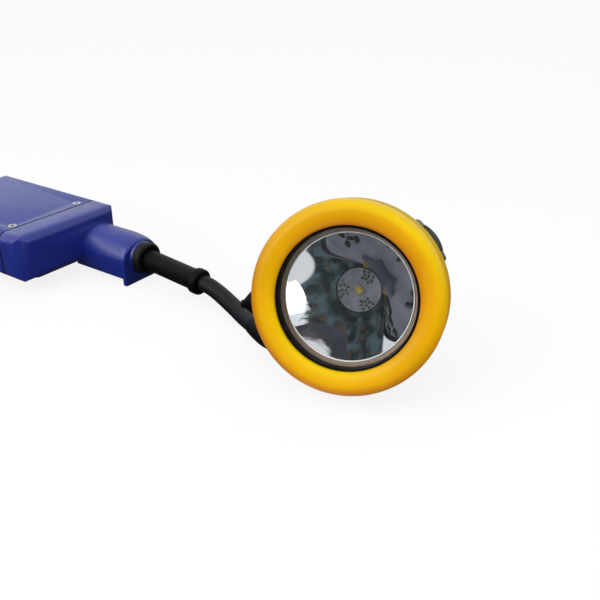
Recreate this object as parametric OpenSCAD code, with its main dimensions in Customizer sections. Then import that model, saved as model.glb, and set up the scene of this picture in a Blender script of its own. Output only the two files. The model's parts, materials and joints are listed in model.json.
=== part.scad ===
// Miner's cap lamp: a round headpiece joined by a short cable to a belt-worn battery pack.
// Both halves lie on a table. The headpiece is drawn in its own frame, with its beam along +Z,
// and is then leaned back onto its bezel and the rear edge of its shell.

/* [Headpiece] */
// Outer diameter of the bezel ring
bezel_d = 78; // [74:0.5:84]
// Length of the bezel's straight skirt
bezel_skirt = 13; // [11:0.5:14]
// How far the bezel's crown stands in front of the skirt
bezel_crown = 6.4; // [5:0.2:8]
// Diameter of the bezel's front opening
bezel_opening_d = 57.4; // [55:0.2:59]
// Diameter of the shell's threaded neck
neck_d = 66; // [65.4:0.2:68]
// Outer diameter of the shell behind the bezel
shell_d = 64; // [62:0.5:66]
// Outer diameter of the shell at its rear edge
shell_rear_d = 55.2; // [52:0.4:58]
// Wall thickness of the shell
shell_wall = 2.5; // [2:0.1:3]
// Angle by which the resting headpiece is turned about the vertical
lamp_yaw = 20; // [0:0.5:60]

/* [Optics] */
// Thickness of the lens
lens_t = 2; // [1.5:0.1:3]
// Thickness of the lens gasket's flange
gasket_t = 1.2; // [0.8:0.1:1.6]
// Wall of the gasket's sleeve inside the bezel opening
gasket_wall = 1; // [0.8:0.1:1.4]
// Diameter of the mirror at its rim
mirror_d = 51.2; // [48:0.2:53]
// Focal length of the mirror's paraboloid
mirror_focal_length = 6; // [5.6:0.1:6.8]
// Diameter of the hole in the mirror's base
mirror_hole_d = 20; // [18:0.5:21]
// Wall thickness of the reflector
reflector_wall = 1.2; // [1:0.1:1.6]
// Diameter of the light-emitting diode's board
led_board_d = 22; // [21.5:0.5:24]
// Thickness of the diode's board
led_board_t = 1.6; // [1:0.1:2]
// Side of the diode's square package
led_side = 3.5; // [3:0.1:5]

/* [Inside the headpiece] */
// Diameter of the aluminium heat sink
heat_sink_d = 39; // [34:0.5:40]
// Thickness of the heat sink
heat_sink_t = 5; // [4:0.2:6]
// Radius at which the heat sink's screws stand
sink_screw_r = 23.5; // [22.6:0.1:23.8]
// Diameter of the driver board
driver_d = 38; // [32:0.5:40]
// Thickness of the driver board
driver_t = 1.6; // [1:0.1:2]
// Gap between the heat sink and the driver board
driver_gap = 3.2; // [2.6:0.1:3.6]
// Height of the driver board's tallest part
driver_part_h = 4; // [2:0.2:6]
// Free depth behind the driver board's parts
rear_room = 2.9; // [1:0.1:8]

/* [Switch] */
// Direction of the switch around the beam axis
switch_angle = 41; // [20:0.5:60]
// Distance of the switch's axis behind the skirt's front end
switch_back = 24.8; // [24.6:0.1:27]
// Diameter of the metal collar under the knob
collar_d = 20.6; // [20:0.2:23]
// Radius from the beam axis to the collar's outer face
collar_top = 37.5; // [36.5:0.1:39]
// Thickness of the collar
collar_t = 3; // [2:0.1:3.5]
// Diameter of the switch knob
knob_d = 13.4; // [12.6:0.2:16]
// Height of the knob's dome
knob_h = 1.9; // [1.6:0.1:2.6]
// Number of grip grooves around the knob
knob_grooves = 24; // [12:1:28]
// Diameter of the switch shaft
shaft_d = 7.9; // [6:0.1:8.2]

/* [Charging post] */
// Direction of the charging post around the beam axis
post_angle = 193; // [188:0.5:195]
// Distance of the post's axis behind the skirt's front end
post_back = 22; // [21:0.1:23]
// Diameter of the post's insulating base
post_base_d = 14; // [12:0.2:15]
// Radius from the beam axis to the base's outer face
post_base_top = 43; // [41:0.1:45]
// Diameter of the charging pin
pin_d = 10.4; // [9:0.1:11]
// Length of the charging pin's straight part
pin_straight = 3.3; // [3:0.1:4]
// Length of the charging pin outside its base
pin_length = 8.6; // [7.8:0.1:9.2]

/* [Cap hook] */
// Width of the hook
hook_w = 24; // [18:0.5:26]
// Length of the hook's tongue beyond its foot
hook_reach = 28; // [22:0.5:30]
// Gap between the tongue and the shell
hook_gap = 5; // [4:0.1:6]
// Thickness of the hook's plate
hook_t = 2.6; // [2:0.1:3]

/* [Cable] */
// Diameter of the cable
cable_d = 8.3; // [7:0.1:8.6]
// Diameter of the gland nut on the headpiece
gland_d = 14; // [13:0.2:15]
// Length of the gland nut
gland_length = 5; // [4:0.2:6]
// Diameter of the headpiece's cable boot at its root
boot_root_d = 12; // [11:0.2:12.4]
// Diameter of the headpiece's cable boot at its tip
boot_tip_d = 9; // [8.8:0.1:9.4]
// Diameter of the rubber sleeve on the pack's cable outlet
sleeve_d = 10.9; // [9.5:0.1:11.5]
// Diameter of the collar at the sleeve's end
sleeve_collar_d = 13.4; // [12:0.1:15]
// Length of the collar at the sleeve's end
sleeve_collar_w = 5; // [3:0.2:7]

/* [Battery pack] */
// Number of cells side by side
cell_count = 3; // [3:1:3]
// Diameter of a cell
cell_d = 18.4; // [18:0.1:18.6]
// Length of a cell
cell_length = 65; // [64:0.5:66]
// Spacing of the cells
cell_pitch = 19.2; // [18.8:0.1:19.6]
// Length of the pack's case and head without the cable nose
pack_length = 98; // [97:0.5:104]
// Width of the pack
pack_w = 66; // [64:0.5:72]
// Thickness of the pack's side walls
pack_wall = 2.5; // [2:0.1:3]
// Thickness of the pack's floor
pack_floor = 3.2; // [3:0.1:4]
// Thickness of the pack's top wall
pack_roof = 2.2; // [2:0.1:3]
// Corner radius of the pack seen from above
pack_corner_r = 8; // [5:0.5:9]
// Length of the pack's removable head
head_length = 15; // [13:0.5:17]
// Thickness of the gasket between case and head
case_gasket_t = 1; // [0.8:0.1:1.4]

/* [Cable nose] */
// Length of the nose in front of the pack
nose_length = 33.5; // [30:0.5:34]
// Width of the nose
nose_w = 24.4; // [23.6:0.2:25.6]
// Distance of the nose's axis from the pack's middle
nose_offset = 18; // [16:0.5:18.5]
// Height of the nose's axis above the table
nose_axis_z = 13.2; // [12.6:0.1:13.6]
// Height of the nose's top above the table
nose_top = 24.7; // [24:0.1:25.6]
// Height of the nose's front plate above the table
nose_face_top = 22; // [21.8:0.1:22.6]
// Diameter of the boss under the outlet nut
nose_boss_d = 17; // [16:0.2:17]
// Diameter of the outlet nut on the nose
outlet_nut_d = 17.2; // [16.4:0.2:18]
// Thickness of the outlet nut
outlet_nut_t = 4.6; // [4:0.1:6.4]

/* [Belt bracket] */
// Length of the slot that the belt passes through
belt_slot = 53; // [50:0.5:56]
// Height of the slot that the belt passes through
belt_gap = 4.6; // [4.2:0.1:6]
// Thickness of the strap under the belt
strap_t = 2.4; // [2:0.1:3]
// Width of the strap
strap_w = 30; // [22:0.5:36]
// Length of each leg along the pack
leg_length = 7; // [6.4:0.1:9]

/* [Hidden] */
$fn = 96;

// Clearances
fit_gap = 0.15;
seal_gap = 0.1;
move_gap = 0.3;
shaft_gap = 0.05;
cell_gap = 0.4;

// Headpiece stations along the beam axis; the skirt's front end is at zero
bezel_r = bezel_d / 2;
lip_back = -0.5;
lens_front = lip_back - gasket_t;
flange_front = lens_front - lens_t;
flange_t = 1.2;
neck_front = flange_front - flange_t;
mirror_depth = pow(mirror_d / 2, 2) / (4 * mirror_focal_length);
hole_depth = pow(mirror_hole_d / 2, 2) / (4 * mirror_focal_length);
mirror_vertex = flange_front - mirror_depth;
board_top = mirror_vertex + hole_depth - 0.4;
sink_front = board_top - led_board_t;
sink_back = sink_front - heat_sink_t;
driver_front = sink_back - driver_gap;
driver_back = driver_front - driver_t;
shell_r = shell_d / 2;
shell_rear_r = shell_rear_d / 2;
rear_inside = driver_back - driver_part_h - rear_room;
shell_length = shell_wall - rear_inside;
seat_r = neck_d / 2 - fit_gap;

// The resting headpiece leans on the skirt's back edge and on the shell's rear edge
lamp_tilt = atan((bezel_r - shell_rear_r) / (shell_length - bezel_skirt));
lamp_z = bezel_r * cos(lamp_tilt) + bezel_skirt * sin(lamp_tilt);
lamp_pos = [225, -9, lamp_z];

// Battery pack stations
pack_base_z = strap_t + belt_gap;
pack_h = pack_floor + cell_d + 2 * cell_gap + pack_roof;
pack_top_z = pack_base_z + pack_h;
cell_z = pack_base_z + pack_floor + cell_gap + cell_d / 2;
pack_front = pack_length / 2;
head_back = pack_front - head_length;
case_front = head_back - case_gasket_t;
cell_back = -pack_front + pack_wall + 2;
nose_front = pack_front + nose_length;
nose_arch_z = nose_top - nose_w / 2;
nose_face_rise = nose_face_top - nose_arch_z;
nose_crown_r = (pow(nose_face_rise, 2) + pow(nose_w / 2, 2)) / (2 * nose_face_rise) + 0.15;
nose_crown_z = nose_face_top - nose_crown_r;
nose_boss_t = 2;
nose_plate_x = nose_front - nose_boss_t;
spigot_length = 7;
case_screw_x = case_front - spigot_length / 2;
case_screw_y = 21;

lens_r = neck_d / 2 - fit_gap - 0.25;
spigot_r = 2.4;
strip_t = 0.2;
edge_r = 5;
nose_floor_z = 4;
nose_taper_x = 52;
nose_wall = 3;
foot_t = 2.4;

// Bezel lock screw and shell seal
lock_angle = 150;
lock_back = 5.5;
lock_d = 3;
o_ring_r = 0.95;
groove_w = 2.2;
groove_back = -11.6;
taper_start = 32;

// Screws inside the headpiece
lug_angles = [100, 260, 320];
lug_r = 3.6;
sink_screw_d = 2.6;
sink_screw_head = 1.8;
sink_screw_bite = 6;
driver_post_r = 15;
driver_screw_d = 2;
driver_screw_head = 1.2;
driver_bite = 3;
led_turn = 40;
led_base = 0.7;

// Small parts on the diode's board: length, width and height, and each one's radius, direction
// from the middle of its cluster, and turn
board_part_l = 1.1;
board_part_w = 0.7;
board_part_h = 0.45;
board_part_places = [[4.9, -14, 20], [6.6, -17, 90], [8.3, -12, 50], [5.6, 3, 70], [7.3, 1, 0],
    [8.7, 6, 90], [5.2, 20, 100], [6.9, 16, 40], [8.4, 21, 10]];

// Switch stations, measured from the beam axis
shaft_bore_r = shaft_d / 2 + shaft_gap;
switch_inner_r = 26.5;
wafer_r = 21.2;
wafer_t = 1.2;
wafer_post_y = 7.8;
wiper_r = 23.2;
clip_r = 25.1;
clip_t = 0.7;
shaft_seal_r = 31;
shaft_ring_w = 1.1;

// Charging post stations, measured from the beam axis
post_seat_r = 32.6;
nut_seat_r = 28.4;
pin_nut_t = 3;
stud_r = 2;
pin_tip_r = 1.9;
pin_tip_l = 1.4;
pin_tip_edge = 0.6;

// Cap hook, measured from the beam axis
hook_foot = -14;
hook_foot_l = 7;
hook_screw_d = 2.9;
hook_screw_head = 1.6;
gland_seat = 4.2;

// Screws and board of the pack
case_screw_d = 2.5;
case_screw_head = 1.4;
case_screw_l = 4.2;
bracket_screw_d = 3;
bracket_screw_head = 1.4;
bracket_bite = 2.4;
board_x = cell_back + cell_length + 3;
board_w = 54;
board_h = 16;

// Gland direction in the headpiece's frame, and the gland's place on the shell
gland_azimuth = 197;
gland_back_tilt = 28;
gland_angle = 225;
gland_back = 21.3;
gland_base_r = shell_r + 0.8;
gland_base = [gland_base_r * cos(gland_angle), gland_base_r * sin(gland_angle), -gland_back];
gland_axis = [cos(gland_back_tilt) * cos(gland_azimuth), cos(gland_back_tilt) * sin(gland_azimuth),
    -sin(gland_back_tilt)];

// Cable route from the sleeve's end to the boot's tip
cable_route = [[124, 17.4, 9.7], [129, 17.3, 9.2], [137, 15.9, 7.6], [149, 12.2, 5.4], [157, 8.8, 4.7],
    [162.5, 6.2, 4.85], [167.5, 3.8, 5.1]];

function arc(c, r, from, to, n) =
    [for (i = [0:n]) c + r * [cos(from + (to - from) * i / n), sin(from + (to - from) * i / n)]];
function oval(c, rx, ry, from, to, n) =
    [for (i = [0:n]) c + [rx * cos(from + (to - from) * i / n), ry * sin(from + (to - from) * i / n)]];
function nose_crown(a) = nose_crown_r + (nose_top + 0.2 - nose_face_top) * cos(a);
function nose_station(a) = nose_taper_x + (nose_plate_x - nose_taper_x) * sin(a);
function mirror_z(r) = mirror_vertex + r * r / (4 * mirror_focal_length);
function unit(v) = v / norm(v);
function turn_x(v, a) = [v[0], v[1] * cos(a) - v[2] * sin(a), v[1] * sin(a) + v[2] * cos(a)];
function turn_z(v, a) = [v[0] * cos(a) - v[1] * sin(a), v[0] * sin(a) + v[1] * cos(a), v[2]];
function lamp_turn(v) = turn_z(turn_x(v, 90 - lamp_tilt), lamp_yaw);
function bezier(p, t) =
    pow(1 - t, 3) * p[0] + 3 * t * pow(1 - t, 2) * p[1] + 3 * t * t * (1 - t) * p[2] + pow(t, 3) * p[3];

module in_lamp() {
    translate(lamp_pos) rotate([0, 0, lamp_yaw]) rotate([90 - lamp_tilt, 0, 0]) children();
}

// Turns a piece drawn along +Z into one that points away from the beam axis
module radial(angle, back) {
    translate([0, 0, -back]) rotate([0, 0, angle]) rotate([0, 90, 0]) children();
}

module ring(r_out, r_in, h) {
    difference() {
        cylinder(r = r_out, h = h);
        translate([0, 0, -1]) cylinder(r = r_in, h = h + 2);
    }
}

module rounded_rect(x, y, r) {
    union() {
        square([x - 2 * r, y], center = true);
        square([x, y - 2 * r], center = true);
        for (sx = [-1, 1], sy = [-1, 1]) translate([sx * (x / 2 - r), sy * (y / 2 - r)]) circle(r);
    }
}

// A screw that points down, its head's top at zero
module screw(head_d, head_h, shank_d, length) {
    difference() {
        union() {
            translate([0, 0, -head_h]) cylinder(d = head_d, h = head_h, $fn = 32);
            translate([0, 0, -head_h - length]) cylinder(d = shank_d, h = length, $fn = 32);
        }
        translate([0, 0, -head_h / 2]) cylinder(d = head_d / 2, h = head_h, $fn = 6);
    }
}

// A tube swept through points, with its own radius at each
module sweep(points, radii, sides) {
    last = len(points) - 1;
    rings = [for (i = [0:last])
        let (t = unit(points[min(i + 1, last)] - points[max(i - 1, 0)]),
             u = unit(cross(t, [0, 0, 1])),
             v = cross(u, t))
        for (k = [0:sides - 1])
            points[i] + radii[i] * (cos(360 * k / sides) * u + sin(360 * k / sides) * v)];
    walls = [for (i = [0:last - 1], k = [0:sides - 1])
        [i * sides + k, i * sides + (k + 1) % sides,
            (i + 1) * sides + (k + 1) % sides, (i + 1) * sides + k]];
    caps = [[for (k = [sides - 1:-1:0]) k], [for (k = [0:sides - 1]) last * sides + k]];
    polyhedron(rings, concat(walls, caps), convexity = 4);
}

// ---- Headpiece ----

module bezel_ring() {
    opening_r = bezel_opening_d / 2;
    crown_r = opening_r + (bezel_r - opening_r) * 0.53;
    inner_edge = bezel_crown * 0.56;
    color("gold") in_lamp() difference() {
        rotate_extrude() polygon(concat(
            [[opening_r, lip_back], [neck_d / 2, lip_back], [neck_d / 2, -bezel_skirt],
                [bezel_r, -bezel_skirt]],
            oval([crown_r, 0], bezel_r - crown_r, bezel_crown, 0, 90, 16),
            oval([crown_r, inner_edge], crown_r - opening_r, bezel_crown - inner_edge, 100, 180, 12)));
        radial(lock_angle, lock_back) cylinder(d = lock_d + 2 * seal_gap, h = bezel_r + 1, $fn = 32);
    }
}

module bezel_lock_screw() {
    color("dimgray") in_lamp() radial(lock_angle, lock_back) difference() {
        translate([0, 0, seat_r + seal_gap]) cylinder(d = lock_d, h = bezel_r - seat_r - 0.8, $fn = 32);
        translate([0, 0, bezel_r - 2.2]) cylinder(d = lock_d / 2, h = 3, $fn = 6);
    }
}

module lens_gasket() {
    sleeve_out = bezel_opening_d / 2 - seal_gap;
    sleeve_in = sleeve_out - gasket_wall;
    front = bezel_crown * 0.5;
    color("black") in_lamp() union() {
        translate([0, 0, lens_front]) ring(lens_r, sleeve_in, gasket_t);
        translate([0, 0, lens_front]) ring(sleeve_out, sleeve_in, front - lens_front);
    }
}

module lens() {
    color("lightcyan", 0.4) in_lamp() translate([0, 0, flange_front]) cylinder(r = lens_r, h = lens_t);
}

module reflector() {
    hole_r = mirror_hole_d / 2;
    rim_r = mirror_d / 2;
    outer_r = 2 * sqrt(mirror_focal_length * (neck_front - mirror_vertex));
    steps = 24;
    bowl = [for (i = [0:steps]) let (r = hole_r + (rim_r - hole_r) * i / steps) [r, mirror_z(r)]];
    back = [for (i = [0:steps]) let (r = outer_r + (hole_r - outer_r) * i / steps)
        [r + reflector_wall, mirror_z(r)]];
    color("silver") in_lamp() rotate_extrude() polygon(concat(
        [[hole_r, board_top]], bowl, [[lens_r, flange_front], [lens_r, neck_front]], back,
        [[hole_r + reflector_wall, board_top]]));
}

module led_board() {
    color("gainsboro") in_lamp() translate([0, 0, sink_front]) cylinder(d = led_board_d, h = led_board_t);
}

module main_led() {
    dome_r = led_side * 0.45;
    color("khaki") in_lamp() translate([0, 0, board_top]) rotate([0, 0, led_turn]) union() {
        translate([-led_side / 2, -led_side / 2, 0]) cube([led_side, led_side, led_base]);
        intersection() {
            translate([0, 0, led_base]) sphere(r = dome_r, $fn = 48);
            translate([0, 0, led_base + dome_r]) cube(2 * dome_r, center = true);
        }
    }
}

module led_board_parts() {
    color("darkolivegreen") in_lamp() for (cluster = [60, 185, 300], place = board_part_places)
        rotate([0, 0, cluster + place[1]]) translate([place[0], 0, board_top]) rotate([0, 0, place[2]])
            translate([-board_part_l / 2, -board_part_w / 2, 0])
                cube([board_part_l, board_part_w, board_part_h]);
}

module sink_lugs() {
    for (a = lug_angles) rotate([0, 0, a]) translate([sink_screw_r, 0, 0]) children();
}

module heat_sink() {
    color("lightgray") in_lamp() translate([0, 0, sink_back]) difference() {
        union() {
            cylinder(d = heat_sink_d, h = heat_sink_t);
            for (a = lug_angles) rotate([0, 0, a]) translate([sink_screw_r - 8, -lug_r, 0])
                cube([8, 2 * lug_r, heat_sink_t]);
            sink_lugs() cylinder(r = lug_r, h = heat_sink_t, $fn = 48);
        }
        sink_lugs() translate([0, 0, -1]) cylinder(d = sink_screw_d + 0.4, h = heat_sink_t + 2, $fn = 32);
        driver_posts() translate([0, 0, -1])
            cylinder(d = driver_screw_d + 0.1, h = driver_bite + 1.2, $fn = 24);
    }
}

module heat_sink_screws() {
    color("dimgray") in_lamp() sink_lugs() translate([0, 0, sink_front + sink_screw_head])
        screw(sink_screw_d * 1.9, sink_screw_head, sink_screw_d, heat_sink_t + sink_screw_bite);
}

module driver_posts() {
    for (a = [60, 180, 300]) rotate([0, 0, a]) translate([driver_post_r, 0, 0]) children();
}

module driver_spacers() {
    color("white") in_lamp() driver_posts() translate([0, 0, driver_front])
        ring(driver_screw_d * 1.1, driver_screw_d / 2 + seal_gap, driver_gap);
}

module driver_board() {
    color("darkgreen") in_lamp() difference() {
        translate([0, 0, driver_back]) cylinder(d = driver_d, h = driver_t);
        driver_posts() translate([0, 0, driver_back - 1])
            cylinder(d = driver_screw_d + 2 * seal_gap, h = driver_t + 2, $fn = 24);
    }
}

module driver_parts() {
    color("dimgray") in_lamp() translate([0, 0, driver_back]) union() {
        translate([-4, -4, -3.4]) cube([8, 8, 3.4]);
        translate([6, -9, -1.6]) cube([5, 4, 1.6]);
        translate([-11, 5, -1.6]) cube([5, 4, 1.6]);
        for (y = [-3:3]) translate([8.5, y * 2, -0.8]) cube([2, 1.1, 0.8]);
        translate([-9, -6, -driver_part_h]) cylinder(d = 5, h = driver_part_h, $fn = 32);
    }
}

module driver_screws() {
    color("dimgray") in_lamp() driver_posts() translate([0, 0, driver_back - driver_screw_head])
        rotate([180, 0, 0]) screw(driver_screw_d * 1.8, driver_screw_head, driver_screw_d,
            driver_t + driver_gap + driver_bite);
}

module shell_o_ring() {
    color("black") in_lamp() translate([0, 0, groove_back + groove_w / 2])
        rotate_extrude() translate([neck_d / 2 - o_ring_r - seal_gap / 2, 0]) circle(r = o_ring_r, $fn = 24);
}

// The gland's axis, with zero where it meets the shell
module along_gland() {
    translate(gland_base) rotate([0, 0, gland_azimuth]) rotate([0, 90 + gland_back_tilt, 0]) children();
}

module shell_body() {
    difference() {
        union() {
            rotate_extrude() polygon([[0, -shell_length], [shell_rear_r, -shell_length],
                [shell_r, -taper_start], [shell_r, -bezel_skirt - fit_gap], [seat_r, -bezel_skirt - fit_gap],
                [seat_r, neck_front], [0, neck_front]]);
            radial(switch_angle, switch_back) cylinder(d = collar_d, h = collar_top - collar_t);
            radial(post_angle, post_back) cylinder(d = post_base_d + 1, h = post_seat_r);
            along_gland() translate([0, 0, -6]) cylinder(d = gland_d + 0.8, h = 6 + gland_seat);
        }
        rotate_extrude() polygon([[0, rear_inside], [shell_rear_r - shell_wall, rear_inside],
            [shell_r - shell_wall, -taper_start + 1], [shell_r - shell_wall, neck_front + 1],
            [0, neck_front + 1]]);
        translate([0, 0, groove_back]) ring(seat_r + 1, neck_d / 2 - 2 * o_ring_r - seal_gap, groove_w);
    }
}

module shell_bosses() {
    sink_lugs() translate([0, 0, rear_inside - 1])
        cylinder(r = lug_r - 0.2, h = sink_back - rear_inside + 1, $fn = 48);
    hook_screw_places() translate([0, 0, rear_inside - 1]) cylinder(r = 3.2, h = 4.5, $fn = 32);
    radial(switch_angle, switch_back) {
        translate([0, 0, switch_inner_r]) cylinder(r = 7, h = shell_r - 1 - switch_inner_r);
        for (side = [-1, 1]) translate([0, side * wafer_post_y, wafer_r + wafer_t])
            cylinder(r = 1.2, h = shell_r - 1.5 - wafer_r - wafer_t, $fn = 24);
    }
    radial(post_angle, post_back) translate([0, 0, nut_seat_r])
        cylinder(r = 6, h = shell_r - 1.2 - nut_seat_r);
}

module rear_shell() {
    color("#26262a") in_lamp() difference() {
        union() {
            shell_body();
            shell_bosses();
        }
        sink_lugs() translate([0, 0, sink_back - sink_screw_bite - 1])
            cylinder(d = sink_screw_d + 0.1, h = sink_screw_bite + 2, $fn = 32);
        hook_screw_places() translate([0, 0, -shell_length - 1])
            cylinder(d = hook_screw_d + 0.1, h = shell_wall + 4, $fn = 32);
        radial(switch_angle, switch_back) translate([0, 0, switch_inner_r - 1])
            cylinder(r = shaft_bore_r, h = collar_top);
        radial(post_angle, post_back) translate([0, 0, nut_seat_r - 1])
            cylinder(r = stud_r + seal_gap, h = post_base_top);
        along_gland() translate([0, 0, -12]) cylinder(d = cable_d + 0.3, h = 12 + gland_seat + 1, $fn = 48);
    }
}

// ---- Switch ----

module switch_collar() {
    color("gray") in_lamp() radial(switch_angle, switch_back) translate([0, 0, collar_top - collar_t])
        difference() {
            rotate_extrude() polygon([[shaft_bore_r + fit_gap, 0], [collar_d / 2, 0],
                [collar_d / 2, collar_t - 0.6], [collar_d / 2 - 0.6, collar_t],
                [shaft_bore_r + fit_gap, collar_t]]);
            for (a = [0, 90, 180]) rotate([0, 0, a]) translate([collar_d / 2 - 1.1, -0.3, collar_t - 0.3])
                cube([1.4, 0.6, 1]);
        }
}

module switch_knob() {
    edge_h = 0.4;
    cap_h = knob_h - edge_h;
    cap_r = (pow(knob_d / 2, 2) + cap_h * cap_h) / (2 * cap_h);
    cap_angle = asin(knob_d / 2 / cap_r);
    color("#45443a") in_lamp() radial(switch_angle, switch_back) translate([0, 0, collar_top + move_gap])
        difference() {
            rotate_extrude() polygon(concat([[0, 0], [knob_d / 2, 0]],
                arc([0, knob_h - cap_r], cap_r, 90 - cap_angle, 90, 10)));
            for (i = [0:knob_grooves - 1]) rotate([0, 0, 360 * i / knob_grooves])
                translate([knob_d / 2 + 0.25, 0, -1]) cylinder(r = 0.6, h = knob_h + 2, $fn = 24);
            translate([0, 0, -1]) cylinder(r = spigot_r + seal_gap, h = knob_h * 0.6 + 1 + seal_gap);
        }
}

module switch_shaft() {
    color("silver") in_lamp() radial(switch_angle, switch_back) difference() {
        union() {
            translate([0, 0, wiper_r]) cylinder(r = spigot_r, h = 2);
            translate([0, 0, wiper_r + 1.2])
                cylinder(d = shaft_d, h = collar_top + move_gap - wiper_r - 1.2);
            translate([0, 0, collar_top]) cylinder(r = spigot_r, h = move_gap + knob_h * 0.6);
        }
        translate([0, 0, clip_r]) ring(shaft_d, shaft_d / 2 - 0.7, clip_t + 2 * seal_gap);
        translate([0, 0, shaft_seal_r])
            ring(shaft_d, shaft_d / 2 - shaft_ring_w, shaft_ring_w + 2 * seal_gap);
    }
}

module shaft_o_ring() {
    color("black") in_lamp() radial(switch_angle, switch_back)
        translate([0, 0, shaft_seal_r + seal_gap + shaft_ring_w / 2]) rotate_extrude()
            translate([shaft_d / 2 - shaft_ring_w / 2, 0]) circle(d = shaft_ring_w - 0.02, $fn = 24);
}

module shaft_clip() {
    color("gainsboro") in_lamp() radial(switch_angle, switch_back)
        translate([0, 0, clip_r + seal_gap]) difference() {
            ring(shaft_d / 2 + 1.3, shaft_d / 2 - 0.6, clip_t);
            translate([0, -1, -1]) cube([shaft_d, 2, clip_t + 2]);
        }
}

module switch_wiper() {
    color("peru") in_lamp() radial(switch_angle, switch_back) translate([0, 0, wiper_r]) difference() {
        union() {
            cylinder(r = 4.4, h = 1.1);
            translate([-1, 0, 0]) cube([2, 5.6, 1.1]);
        }
        translate([0, 0, -1]) cylinder(r = spigot_r + 0.05, h = 4);
    }
}

module switch_wafer() {
    color("tan") in_lamp() radial(switch_angle, switch_back) translate([0, 0, wafer_r]) union() {
        translate([-5, -wafer_post_y - 1.6, 0]) cube([10, 2 * wafer_post_y + 3.2, wafer_t]);
    }
}

// ---- Charging post ----

module post_base() {
    base_r = post_base_d / 2;
    color("#241f20") in_lamp() radial(post_angle, post_back) difference() {
        translate([0, 0, post_seat_r]) rotate_extrude() polygon(concat([[0, 0], [base_r, 0]],
            arc([base_r - 2, post_base_top - post_seat_r - 2], 2, 0, 90, 6),
            [[0, post_base_top - post_seat_r]]));
        translate([0, 0, post_seat_r - 1]) cylinder(r = stud_r + seal_gap, h = post_base_top);
    }
}

module charging_pin() {
    color("dimgray") in_lamp() radial(post_angle, post_back) union() {
        translate([0, 0, nut_seat_r - pin_nut_t - 1])
            cylinder(r = stud_r, h = post_base_top + 0.5 - nut_seat_r + pin_nut_t + 1);
        translate([0, 0, post_base_top]) rotate_extrude() polygon([[0, 0], [pin_d / 2, 0],
            [pin_d / 2, pin_straight], [pin_tip_r, pin_length - pin_tip_l],
            [pin_tip_r, pin_length - pin_tip_edge], [pin_tip_r - pin_tip_edge, pin_length],
            [0, pin_length]]);
    }
}

module pin_nut() {
    color("goldenrod") in_lamp() radial(post_angle, post_back) translate([0, 0, nut_seat_r - pin_nut_t])
        difference() {
            cylinder(r = 4, h = pin_nut_t, $fn = 6);
            translate([0, 0, -1]) cylinder(r = stud_r + 0.05, h = pin_nut_t + 2);
        }
}

// ---- Cap hook ----

module hook_frame() {
    translate([0, 0, -shell_length]) rotate([0, 0, switch_angle + 180]) rotate([180, 0, 0]) children();
}

module hook_screw_places() {
    rotate([0, 0, switch_angle + 180]) for (side = [-1, 1])
        translate([hook_foot + hook_foot_l / 2, side * hook_w * 0.3, 0]) children();
}

module cap_hook() {
    tongue_l = hook_foot_l + hook_reach;
    color("#2a2a2c") in_lamp() difference() {
        hook_frame() union() {
            translate([hook_foot, -hook_w / 2, 0]) cube([hook_foot_l, hook_w, hook_gap + hook_t]);
            translate([hook_foot, 0, hook_gap]) linear_extrude(hook_t) union() {
                translate([0, -hook_w / 2]) square([tongue_l - 5, hook_w]);
                translate([0, -hook_w / 2 + 5]) square([tongue_l, hook_w - 10]);
                for (side = [-1, 1]) translate([tongue_l - 5, side * (hook_w / 2 - 5)]) circle(5);
            }
        }
        hook_screw_places() translate([0, 0, -shell_length - hook_gap - hook_t - 1])
            cylinder(d = hook_screw_d + 0.4, h = hook_gap + hook_t + 2, $fn = 32);
    }
}

module hook_screws() {
    color("gray") in_lamp() hook_screw_places()
        translate([0, 0, -shell_length - hook_gap - hook_t - hook_screw_head]) rotate([180, 0, 0])
            screw(hook_screw_d * 1.9, hook_screw_head, hook_screw_d, hook_gap + hook_t + shell_wall + 2);
}

// ---- Cable ----

module gland_nut() {
    color("#1c1c1e") in_lamp() along_gland() translate([0, 0, gland_seat]) difference() {
        cylinder(d = gland_d, h = gland_length);
        translate([0, 0, -1]) cylinder(d = cable_d + 0.3, h = gland_length + 2, $fn = 48);
        for (a = [0:60:300]) rotate([0, 0, a]) translate([gland_d / 2 - 0.5, -3, 1.2])
            cube([2, 6, gland_length]);
    }
}

module cable_tail() {
    color("#222326") in_lamp() along_gland() translate([0, 0, -10])
        cylinder(d = cable_d, h = 10 + gland_seat + gland_length);
}

module lamp_boot() {
    steps = 8;
    last = len(cable_route) - 1;
    tip = cable_route[last];
    root = lamp_pos + lamp_turn(gland_base + (gland_seat + gland_length + fit_gap) * gland_axis);
    pull = norm(root - tip) / 3;
    bend = [root, root + pull * lamp_turn(gland_axis), tip + pull * unit(tip - cable_route[last - 1]), tip];
    path = [for (i = [0:steps]) bezier(bend, i / steps)];
    radii = [for (i = [0:steps]) boot_root_d / 2 + (boot_tip_d - boot_root_d) / 2 * i / steps];
    color("#1f1f21") sweep(path, radii, 12);
}

module cable() {
    color("#242528") sweep(cable_route, [for (p = cable_route) cable_d / 2], 10);
}

// The sleeve's axis, from the nose's face to the start of the cable
module along_sleeve() {
    run = cable_route[0] - [nose_front, nose_offset, nose_axis_z];
    translate([nose_front, nose_offset, nose_axis_z]) rotate([0, 0, atan2(run[1], run[0])])
        rotate([0, 90 - atan2(run[2], norm([run[0], run[1]])), 0]) children();
}

module pack_sleeve() {
    length = norm(cable_route[0] - [nose_front, nose_offset, nose_axis_z]);
    edge = 1.2;
    root_gap = 0.6;
    collar_r = sleeve_collar_d / 2;
    color("#222224") along_sleeve() rotate_extrude() polygon(concat(
        [[0, root_gap], [sleeve_d / 2, root_gap], [sleeve_d / 2, length - sleeve_collar_w]],
        arc([collar_r - edge, length - sleeve_collar_w + edge], edge, -60, 0, 4),
        arc([collar_r - edge, length - edge], edge, 0, 90, 6), [[0, length]]));
}

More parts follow.
